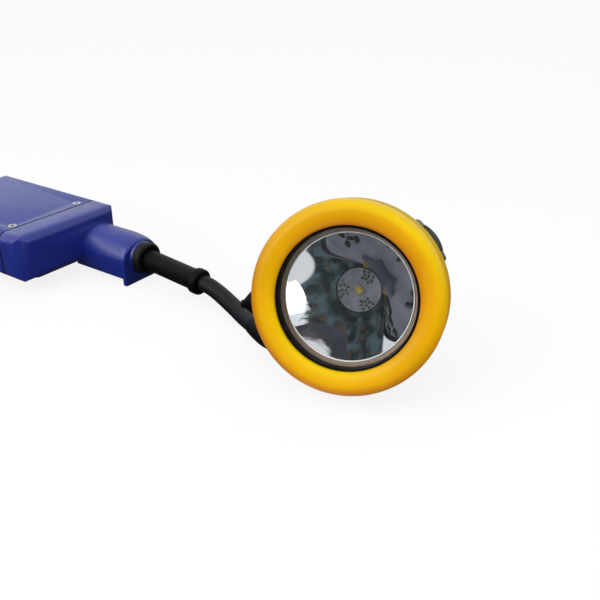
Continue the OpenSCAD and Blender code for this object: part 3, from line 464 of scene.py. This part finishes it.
def make_materials(colours):
    """Every finish of the lamp, by its record slot or its own name."""
    MATERIALS["yellow_abs"] = bezel_material(colours.bezel, colours.bezel_painted_highlight)
    # Blue ABS of the pack: a soft sheen on its top, deep blue where it turns away
    MATERIALS["blue_abs"] = plastic("blue_abs", colours.pack, 0.34, 0.4, 0.006)
    # Black ABS of the shell, bracket and post: the fine spark-eroded grain keeps it matt
    MATERIALS["black_abs"] = plastic("black_abs", paint("#0F0F11"), 0.5, 0.45, 0.012, 0.08, gloss=0.2)
    # Dark olive phenolic knob: matt, with no bright glint
    MATERIALS["olive_plastic"] = plastic("olive_plastic", colours.knob, 0.52, 0.4, 0.012, gloss=0.25)
    # Natural nylon: milky white and waxy
    MATERIALS["nylon"] = plastic("nylon", paint("#DCDCD4"), 0.45)
    # Black nylon: dark with a dull shine
    MATERIALS["nylon_black"] = plastic("nylon_black", paint("#222223"), 0.5, gloss=0.3)
    # Epoxy boards: green, glossy solder mask
    MATERIALS["green_board"] = plastic("green_board", paint("#0F5A32"), 0.25)
    # Moulded chip packages: dull brown-black
    MATERIALS["board_parts"] = plastic("board_parts", paint("#3A3A2C"), 0.45)
    # Switch wafer: tan paper laminate, dull
    MATERIALS["wafer_laminate"] = plastic("wafer_laminate", paint("#9C7B4C"), 0.6)
    # Shrink film of a cell: thin, green and glossy
    MATERIALS["cell_wrap"] = plastic("cell_wrap", paint("#2F9A63"), 0.3)
    MATERIALS["led_board_white"] = led_board_material()
    # Phosphor of the diode: a yellow-brown ceramic plate
    MATERIALS["led_phosphor"] = plastic("led_phosphor", paint("#C4A320"), 0.35)
    # Package of the diode: grey ceramic close to the board's tone
    MATERIALS["led_ceramic"] = plastic("led_ceramic", paint("#7C7D86"), 0.4)
    # Black rubber of the sleeve and boot: matt and very dark, its bloom only just seen
    MATERIALS["black_rubber"] = rubber("black_rubber", paint("#08080A"), 0.55, 0.1)
    # Gasket rubber: solid black and smooth
    MATERIALS["gasket_rubber"] = rubber("gasket_rubber", paint("#070708"), 0.4, 0.12, 0.001)
    # Cable jacket: black rubber with a slightly bluish cast
    MATERIALS["black_cable"] = rubber("black_cable", paint("#0F1014"), 0.5, 0.18)
    # Plated steel: bright grey with fine tool marks
    MATERIALS["steel"] = metal("steel", paint("#B9BABC"), 0.32)
    # Blackened steel of the charging pin: almost black, a dull shine along it
    MATERIALS["dark_steel"] = metal("dark_steel", paint("#171615"), 0.48)
    # Zinc-plated collar: olive grey, dulled by handling
    MATERIALS["grey_metal"] = metal("grey_metal", paint("#77746A"), 0.46)
    # Bare aluminium: light grey and satin
    MATERIALS["aluminium"] = metal("aluminium", paint("#C6C8CA"), 0.3)
    # Brass: warm yellow metal
    MATERIALS["brass"] = metal("brass", paint("#C29B4A"), 0.3)
    MATERIALS["mirror_coating"] = mirror_material()
    # Clear polycarbonate of the lens
    MATERIALS["clear_lens"] = clear_material("clear_lens", 1.585)
    # Clear silicone of the diode's dome
    MATERIALS["led_silicone"] = clear_material("led_silicone", 1.41)


# ---- Operators ----

class CAPLAMP_OT_materials(bpy.types.Operator):
    """Make every finish and give it to the CAD nodes"""

    bl_idname = "caplamp.materials"
    bl_label = "Finishes"

    def execute(self, context):
        make_materials(context.scene.cap_lamp_colours)
        slots = {part["node"]: part["material_slot"] for part in frame["record"]["subparts"]}
        for name, piece in NODES.items():
            made = MATERIALS[slots[name]]
            for holder in piece.material_slots:
                holder.material = made
            if not piece.material_slots:
                piece.data.materials.append(made)
        return {"FINISHED"}


class CAPLAMP_OT_camera(bpy.types.Operator):
    """Place the camera"""

    bl_idname = "caplamp.camera"
    bl_label = "Camera"

    def execute(self, context):
        azimuth, height = math.radians(CAMERA_AZIMUTH), math.radians(CAMERA_HEIGHT)
        away = Vector((math.sin(azimuth) * math.cos(height), -math.cos(azimuth) * math.cos(height),
                       math.sin(height)))
        right = Vector((math.cos(azimuth), math.sin(azimuth), 0))
        turn = Matrix((right, away.cross(right), away)).transposed().to_4x4()
        lens = bpy.data.cameras.new("camera")
        lens.sensor_width = CAMERA_SENSOR
        lens.lens = CAMERA_LENS
        lens.clip_start = 0.01
        holder = bpy.data.objects.new("camera", lens)
        holder.matrix_world = Matrix.Translation(CAMERA_AT * MM) @ turn
        context.scene.collection.objects.link(holder)
        context.scene.camera = holder
        return {"FINISHED"}


class CAPLAMP_OT_cable(bpy.types.Operator):
    """Make the cable with its outlet sleeve and its boot"""

    bl_idname = "caplamp.cable"
    bl_label = "Cable, sleeve and boot"

    def execute(self, context):
        sizes = context.scene.cap_lamp_sizes
        # The cable runs on a little inside the sleeve's end and the boot's tip
        line = smooth_line(CABLE_ROUTE, 30)
        line = [line[0] + RUN_ON * (line[0] - line[1]).normalized()] + line
        line.append(line[-1] + RUN_ON * (line[-1] - line[-2]).normalized())
        cable = tube("cable_jacket", line, [sizes.cable_diameter / 2 / MM] * len(line))
        finish(cable, MATERIALS["black_cable"], "lamp", "black_cable", "cable")

        start = Vector(CABLE_ROUTE[0])
        length = (start - NOSE_FACE).length
        thin, thick = sizes.sleeve_diameter / 2 / MM, sizes.collar_diameter / 2 / MM
        outline = [(0, 0.6), (thin, 0.6), (thin, length - 5.6)]
        outline += [(thin + 0.3, length - 5.2)] + oval((thick - 1.2, length - 3.8), 1.2, 1.2, -60, 0, 5)
        outline += oval((thick - 1.2, length - 1.2), 1.2, 1.2, 0, 90, 6)
        outline += [(0, length)]
        way = (start - NOSE_FACE).normalized()
        place = Matrix.Translation(NOSE_FACE * MM) @ way.to_track_quat("Z", "Y").to_matrix().to_4x4()
        sleeve = turned("outlet_sleeve", outline, 64, place, closed=False)
        finish(sleeve, MATERIALS["black_rubber"], "lamp", "black_rubber", "pack_sleeve")

        root, tip = BOOT_ROOT, Vector(CABLE_ROUTE[-1])
        inward = (tip - Vector(CABLE_ROUTE[-2])).normalized()
        pull = (root - tip).length / 3
        bend = [root, root + pull * BOOT_WAY, tip + pull * inward, tip]
        path, radii = [], []
        count = 48
        for i in range(count + 1):
            t = i / count
            path.append((1 - t) ** 3 * bend[0] + 3 * t * (1 - t) ** 2 * bend[1]
                        + 3 * t * t * (1 - t) * bend[2] + t ** 3 * bend[3])
            groove = BOOT_GROOVE if 3 < i < 15 and i % 5 in (0, 1) else 0
            radii.append(BOOT_RADIUS - BOOT_TAPER * t - groove)
        boot = tube("cable_boot", path, radii)
        finish(boot, MATERIALS["black_rubber"], "lamp", "black_rubber", "lamp_boot")

        return {"FINISHED"}


class CAPLAMP_OT_bezel(bpy.types.Operator):
    """Make the bezel ring and its gasket"""

    bl_idname = "caplamp.bezel"
    bl_label = "Bezel and gasket"

    def execute(self, context):
        sizes = context.scene.cap_lamp_sizes
        outer, opening = sizes.bezel_radius / MM, sizes.bezel_opening / MM
        crown, skirt = sizes.bezel_crown / MM, sizes.bezel_skirt / MM
        top = opening + (outer - opening) * 0.53
        edge = crown * 0.56
        outline = [(opening, LIP_FRONT), (BEZEL_BORE, LIP_FRONT), (BEZEL_BORE, -skirt)]
        outline += oval((outer - 0.5, -skirt + 0.5), 0.5, 0.5, -90, 0, 4)
        outline += oval((top, 0), outer - top, crown, 0, 90, 20)
        outline += oval((top, edge), top - opening, crown - edge, 96, 180, 16)
        bezel = turned("bezel", outline, 192, LAMP)
        finish(bezel, MATERIALS["yellow_abs"], "lamp", "yellow_abs", "bezel_ring")
        inner = opening - 1.1
        outline = [(inner, -1.7), (SEAT_RADIUS, -1.7), (SEAT_RADIUS, LIP_FRONT), (opening - 0.1, LIP_FRONT)]
        outline += oval((inner + 0.5, crown / 2 - 0.5), 0.5, 0.5, 0, 180, 8)
        gasket = turned("lens_seal", outline, 160, LAMP)
        finish(gasket, MATERIALS["gasket_rubber"], "lamp", "black_rubber", "lens_gasket")
        return {"FINISHED"}


class CAPLAMP_OT_reflector(bpy.types.Operator):
    """Make the metallised reflector"""

    bl_idname = "caplamp.reflector"
    bl_label = "Reflector"

    def execute(self, context):
        sizes = context.scene.cap_lamp_sizes
        rim, hole = sizes.mirror_rim / MM, sizes.mirror_hole / MM
        focal = sizes.mirror_focal_length / MM
        vertex = FLANGE_FRONT - rim * rim / (4 * focal)
        count = 72
        radii = [hole + (rim - hole) * i / count for i in range(count + 1)]
        bowl = [(r, vertex + r ** 2 / (4 * focal)) for r in radii]
        outline = [(hole, BOARD_TOP + 0.02)] + bowl
        # A small bead runs round the rim, and two shallow steps lead out to the flange
        outline += oval((rim + 0.25, FLANGE_FRONT - 0.05), 0.24, 0.3, 165, 0, 8)
        outline += [(rim + 0.5, FLANGE_FRONT - 0.25), (rim + 1.1, FLANGE_FRONT - 0.2),
                    (rim + 1.2, FLANGE_FRONT - 0.05), (SEAT_RADIUS, FLANGE_FRONT - 0.02)]
        outline += [(SEAT_RADIUS, FLANGE_FRONT - 1.2), (rim + 1.0, FLANGE_FRONT - 1.2)]
        outline += [(r + 1.2, z - 0.6) for r, z in bowl[-3::-6]] + [(hole + 1.2, BOARD_TOP + 0.02)]
        mirror = turned("mirror", outline, 192, LAMP)
        finish(mirror, MATERIALS["mirror_coating"], "lamp", "mirror_coating", "reflector")
        return {"FINISHED"}


class CAPLAMP_OT_diode(bpy.types.Operator):
    """Make the light-emitting diode: package, phosphor plate and dome"""

    bl_idname = "caplamp.diode"
    bl_label = "Light-emitting diode"

    def execute(self, context):
        side = context.scene.cap_lamp_sizes.led_side
        place = (LAMP @ Matrix.Translation((0, 0, BOARD_TOP * MM))
                 @ Matrix.Rotation(math.radians(DIODE_TURN), 4, "Z"))
        for name, width, low, high, finish_name in (("led_package", side, 0, 0.68 * MM, "led_ceramic"),
                                                    ("led_plate", side * 0.78, 0.68 * MM, 0.84 * MM,
                                                     "led_phosphor")):
            bm = bmesh.new()
            bmesh.ops.create_cube(bm, size=1)
            bmesh.ops.scale(bm, vec=(width, width, high - low), verts=bm.verts)
            bmesh.ops.translate(bm, vec=(0, 0, (low + high) / 2), verts=bm.verts)
            bmesh.ops.bevel(bm, geom=bm.edges[:], offset=0.05 * MM, affect="EDGES", segments=2, profile=0.5,
                            material=-1)
            piece = mesh_object(name, bm, place)
            if name == "led_package":
                finish(piece, MATERIALS[finish_name], "lamp", "led_phosphor", "main_led")
            else:
                finish(piece, MATERIALS[finish_name], "lamp", "led_phosphor")
        outline = [(0, 0.86)] + oval((0, 0.86), 1.5, 1.35, 0, 90, 12)
        dome = turned("led_dome", outline, 48, place, closed=False)
        finish(dome, MATERIALS["led_silicone"], "lamp", "clear_lens")
        return {"FINISHED"}


class CAPLAMP_OT_switch(bpy.types.Operator):
    """Make the ribbed switch knob and break the edges of its collar"""

    bl_idname = "caplamp.switch"
    bl_label = "Switch knob and collar"

    def execute(self, context):
        sizes = context.scene.cap_lamp_sizes
        edge, height = sizes.knob_radius / MM, sizes.knob_height / MM
        ribs = sizes.knob_ribs
        cap = height - 0.4
        bow = (edge * edge + cap * cap) / (2 * cap)
        reach = math.degrees(math.asin(edge / bow))
        outline = [(0, 0), (edge - 0.3, 0), (edge, 0.25)]
        outline += oval((0, height - bow), bow, bow, 90 - reach, 90, 20)

        def ribbed(point):
            far = math.hypot(point.x, point.y) / MM
            share = min(max((far - 3.2) / 1.2, 0), 1)
            wave = 0.5 - 0.5 * math.cos(ribs * math.atan2(point.y, point.x))
            depth = 0.42 * share * wave ** 2
            keep = (far - depth) / far if far > 0.01 else 1
            lower = 0.25 * share * wave ** 2 * MM if point.z > 0.3 * MM else 0
            return Vector((point.x * keep, point.y * keep, point.z - lower))

        place = (LAMP @ Matrix.Translation((0, 0, -SWITCH_BACK * MM))
                 @ Matrix.Rotation(math.radians(SWITCH_ANGLE), 4, "Z")
                 @ Matrix.Rotation(math.radians(90), 4, "Y") @ Matrix.Translation((0, 0, KNOB_SEAT * MM)))
        knob = turned("knob", outline, ribs * 8, place, closed=False, carve=ribbed)
        finish(knob, MATERIALS["olive_plastic"], "switch", "olive_plastic", "switch_knob")
        softened("collar_ring", "switch_collar", 0.15, MATERIALS["grey_metal"], "lamp", "grey_metal")
        return {"FINISHED"}


class CAPLAMP_OT_mouldings(bpy.types.Operator):
    """Break the edges of the moulded shell, hook, post, pack and bracket"""

    bl_idname = "caplamp.mouldings"
    bl_label = "Moulded shells"

    def execute(self, context):
        for name, node, width, slot in (("lamp_shell", "rear_shell", 0.35, "black_abs"),
                                        ("hook_plate", "cap_hook", 0.4, "black_abs"),
                                        ("charging_base", "post_base", 0.2, "black_abs"),
                                        ("pack_body", "pack_case", 0.3, "blue_abs"),
                                        ("pack_cap", "pack_head", 0.5, "blue_abs"),
                                        ("bracket_frame", "belt_bracket", 0.5, "black_abs")):
            softened(name, node, width, MATERIALS[slot], "lamp", slot)
        return {"FINISHED"}


class CAPLAMP_OT_stage(bpy.types.Operator):
    """Lay the floor and light the scene"""

    bl_idname = "caplamp.stage"
    bl_label = "Stage"

    def execute(self, context):
        scene = context.scene
        scene.view_settings.view_transform = "Standard"
        bm = bmesh.new()
        bmesh.ops.create_grid(bm, x_segments=1, y_segments=1, size=4)
        floor = mesh_object("floor", bm)
        floor.data.materials.append(self.floor_material())
        self.make_world(scene)
        # The key light shows in the mirror as a window, and a low side light only brightens the
        # bezel's edge
        for name, at, size, power, mirrored in LIGHTS:
            light = bpy.data.lights.new(name, "AREA")
            light.shape = "SQUARE"
            light.size = size
            light.energy = power
            holder = bpy.data.objects.new(name, light)
            holder.visible_glossy = mirrored
            holder.visible_transmission = mirrored
            aim = (Vector(LIGHTS_AIM) - Vector(at)).to_track_quat("-Z", "Y").to_matrix().to_4x4()
            holder.matrix_world = Matrix.Translation(Vector(at)) @ aim
            scene.collection.objects.link(holder)
        return {"FINISHED"}

    def floor_material(self):
        # Matt white card: white to the camera, and in reflections white only before the lamp, so that
        # the faces turned to the floor elsewhere stay deep in colour
        made, tree, shader, where = material("pale_floor")
        shader.inputs["Roughness"].default_value = 0.9
        path = add(tree, "LightPath")
        offset = add(tree, "VectorMath", {0: where, 1: (-0.24, 0.1, 0)}, operation="ADD").outputs[0]
        away = add(tree, "VectorMath", {0: offset}, operation="LENGTH").outputs["Value"]
        # A ragged border, so that the mirror shows no ring
        ragged = add(tree, "TexNoise", {"Vector": where, "Scale": 22.0, "Detail": 4.0}).outputs["Fac"]
        far = add(tree, "Math", {0: ragged, 1: 0.14, 2: away}, operation="MULTIPLY_ADD").outputs[0]
        far = add(tree, "Math", {0: far, 1: 0.07}, operation="SUBTRACT").outputs[0]
        near = add(tree, "MapRange", {"Value": far, "From Min": 0.05, "From Max": 0.11, "To Min": 1.0,
                                      "To Max": 0.0}).outputs["Result"]
        given = add(tree, "Mix", {0: near, 6: (0.1, 0.1, 0.1, 1), 7: (0.6, 0.6, 0.6, 1)},
                    data_type="RGBA").outputs[2]
        colour = add(tree, "Mix", {0: path.outputs["Is Diffuse Ray"], 6: rgba(paint("#F4F4F4")), 7: given},
                     data_type="RGBA").outputs[2]
        tree.links.new(colour, shader.inputs["Base Color"])
        seen = add(tree, "Mix", {0: near, 6: (0.06, 0.065, 0.075, 1), 7: (1, 1, 1, 1)},
                   data_type="RGBA").outputs[2]
        seen = add(tree, "Mix", {0: path.outputs["Is Camera Ray"], 6: seen, 7: (1, 1, 1, 1)},
                   data_type="RGBA").outputs[2]
        glow = add(tree, "Emission", {"Color": seen, "Strength": 1.0})
        mirrored = add(tree, "Math", {0: path.outputs["Is Glossy Ray"],
                                      1: path.outputs["Is Transmission Ray"]},
                       operation="MAXIMUM").outputs[0]
        # Only the camera sees a share of the card itself, which holds the soft shadow
        share = add(tree, "Math", {0: path.outputs["Is Camera Ray"], 1: 0.85},
                    operation="MULTIPLY").outputs[0]
        share = add(tree, "Math", {0: share, 1: mirrored}, operation="MAXIMUM").outputs[0]
        mix = add(tree, "MixShader", {0: share, 1: shader.outputs["BSDF"], 2: glow.outputs["Emission"]})
        tree.links.new(mix.outputs["Shader"], tree.nodes["Material Output"].inputs["Surface"])
        return made

    def make_world(self, scene):
        """A pale room: soft light from above, and for the mirror a window and a dark side."""
        world = bpy.data.worlds.new("studio")
        scene.world = world
        world.use_nodes = True
        tree = world.node_tree
        tree.nodes.clear()
        where = add(tree, "TexCoord").outputs["Generated"]
        way = add(tree, "SeparateXYZ", {"Vector": where})
        height = way.outputs["Z"]
        front = add(tree, "Math", {0: way.outputs["Y"], 1: -1.0}, operation="MULTIPLY").outputs[0]
        turn = add(tree, "Math", {0: way.outputs["X"], 1: front}, operation="ARCTAN2").outputs[0]
        # Ragged borders between the pale and the dark parts, as curtains and furniture make
        ragged = add(tree, "TexNoise", {"Vector": where, "Scale": 4.0, "Detail": 6.0, "Roughness": 0.65})
        turn = add(tree, "Math", {0: ragged.outputs["Fac"], 1: 0.9, 2: turn},
                   operation="MULTIPLY_ADD").outputs[0]
        turn = add(tree, "Math", {0: turn, 1: 0.45}, operation="SUBTRACT").outputs[0]
        ceiling = band(tree, height, 0.70, 2.0, 0.03)
        dark_side = add(tree, "Math", {0: band(tree, turn, -0.12, 1.6, 0.04),
                                       1: band(tree, height, -0.05, 0.70, 0.03)},
                        operation="MULTIPLY").outputs[0]
        transom = add(tree, "Math", {0: band(tree, turn, -0.8, -0.1, 0.04),
                                     1: band(tree, height, 0.5, 0.6, 0.02)},
                      operation="MULTIPLY").outputs[0]
        cloud = add(tree, "TexNoise", {"Vector": where, "Scale": 5.0, "Detail": 3.0}).outputs["Fac"]
        share = add(tree, "MapRange", {"Value": cloud, "From Min": 0.42, "From Max": 0.6}).outputs["Result"]
        shade = add(tree, "Mix", {0: share, 6: rgba(paint("#2C3233")), 7: rgba(paint("#55666A"))},
                    data_type="RGBA").outputs[2]
        patch = add(tree, "TexNoise", {"Vector": where, "Scale": 7.0, "Detail": 4.0, "Roughness": 0.7})
        share = add(tree, "MapRange", {"Value": patch.outputs["Fac"], "From Min": 0.54,
                                       "From Max": 0.62}).outputs["Result"]
        shade = add(tree, "Mix", {0: share, 6: shade, 7: rgba(paint("#57453A"))},
                    data_type="RGBA").outputs[2]
        dark = add(tree, "Math", {0: dark_side, 1: transom}, operation="MAXIMUM").outputs[0]
        room = add(tree, "Mix", {0: dark, 6: (1.1, 1.15, 1.17, 1), 7: shade}, data_type="RGBA").outputs[2]
        room = add(tree, "Mix", {0: ceiling, 6: room, 7: (1, 1, 1, 1)}, data_type="RGBA").outputs[2]
        # The light that falls on dull surfaces comes mostly from above, and least from the right
        grade = add(tree, "MapRange", {"Value": height, "From Min": -0.1, "To Min": 0.3,
                                       "To Max": 1.0}).outputs["Result"]
        right = add(tree, "Math", {0: band(tree, turn, 0.9, 2.4, 0.35),
                                   1: band(tree, height, -0.5, 0.6, 0.2)},
                    operation="MULTIPLY").outputs[0]
        kept = add(tree, "Math", {0: right, 1: -0.8, 2: 1.0}, operation="MULTIPLY_ADD").outputs[0]
        soft = add(tree, "Math", {0: grade, 1: kept}, operation="MULTIPLY").outputs[0]
        path = add(tree, "LightPath")
        mirrored = add(tree, "Math", {0: path.outputs["Is Glossy Ray"],
                                      1: path.outputs["Is Transmission Ray"]},
                       operation="MAXIMUM").outputs[0]
        seen = add(tree, "Mix", {0: mirrored, 6: soft, 7: room}, data_type="RGBA").outputs[2]
        seen = add(tree, "Mix", {0: path.outputs["Is Camera Ray"], 6: seen, 7: (1, 1, 1, 1)},
                   data_type="RGBA").outputs[2]
        sky = add(tree, "Background", {"Color": seen, "Strength": 1.0})
        add(tree, "OutputWorld", {"Surface": sky.outputs[0]})


class CAPLAMP_PT_panel(bpy.types.Panel):
    """Sizes, colours and the steps that make the lamp"""

    bl_idname = "CAPLAMP_PT_panel"
    bl_label = "Cap lamp"
    bl_space_type = "VIEW_3D"
    bl_region_type = "UI"
    bl_category = "Cap lamp"

    def draw(self, context):
        layout = self.layout
        for group in (context.scene.cap_lamp_sizes, context.scene.cap_lamp_colours):
            for name in group.__annotations__:
                layout.prop(group, name)
        for step in OPERATORS:
            layout.operator(step.bl_idname)


GROUPS = (CapLampSizes, CapLampColours)
OPERATORS = (CAPLAMP_OT_materials, CAPLAMP_OT_camera, CAPLAMP_OT_cable, CAPLAMP_OT_bezel,
             CAPLAMP_OT_reflector,
             CAPLAMP_OT_diode, CAPLAMP_OT_switch, CAPLAMP_OT_mouldings, CAPLAMP_OT_stage)
CLASSES = GROUPS + OPERATORS + (CAPLAMP_PT_panel,)


def register():
    for made in CLASSES:
        bpy.utils.register_class(made)
    bpy.types.Scene.cap_lamp_sizes = PointerProperty(type=CapLampSizes)
    bpy.types.Scene.cap_lamp_colours = PointerProperty(type=CapLampColours)


def unregister():
    del bpy.types.Scene.cap_lamp_sizes
    del bpy.types.Scene.cap_lamp_colours
    for made in reversed(CLASSES):
        bpy.utils.unregister_class(made)


def main():
    register()
    for step in (bpy.ops.caplamp.materials, bpy.ops.caplamp.camera, bpy.ops.caplamp.cable,
                 bpy.ops.caplamp.bezel, bpy.ops.caplamp.reflector, bpy.ops.caplamp.diode,
                 bpy.ops.caplamp.switch, bpy.ops.caplamp.mouldings, bpy.ops.caplamp.stage):
        step()


if __name__ == "__main__":
    main()
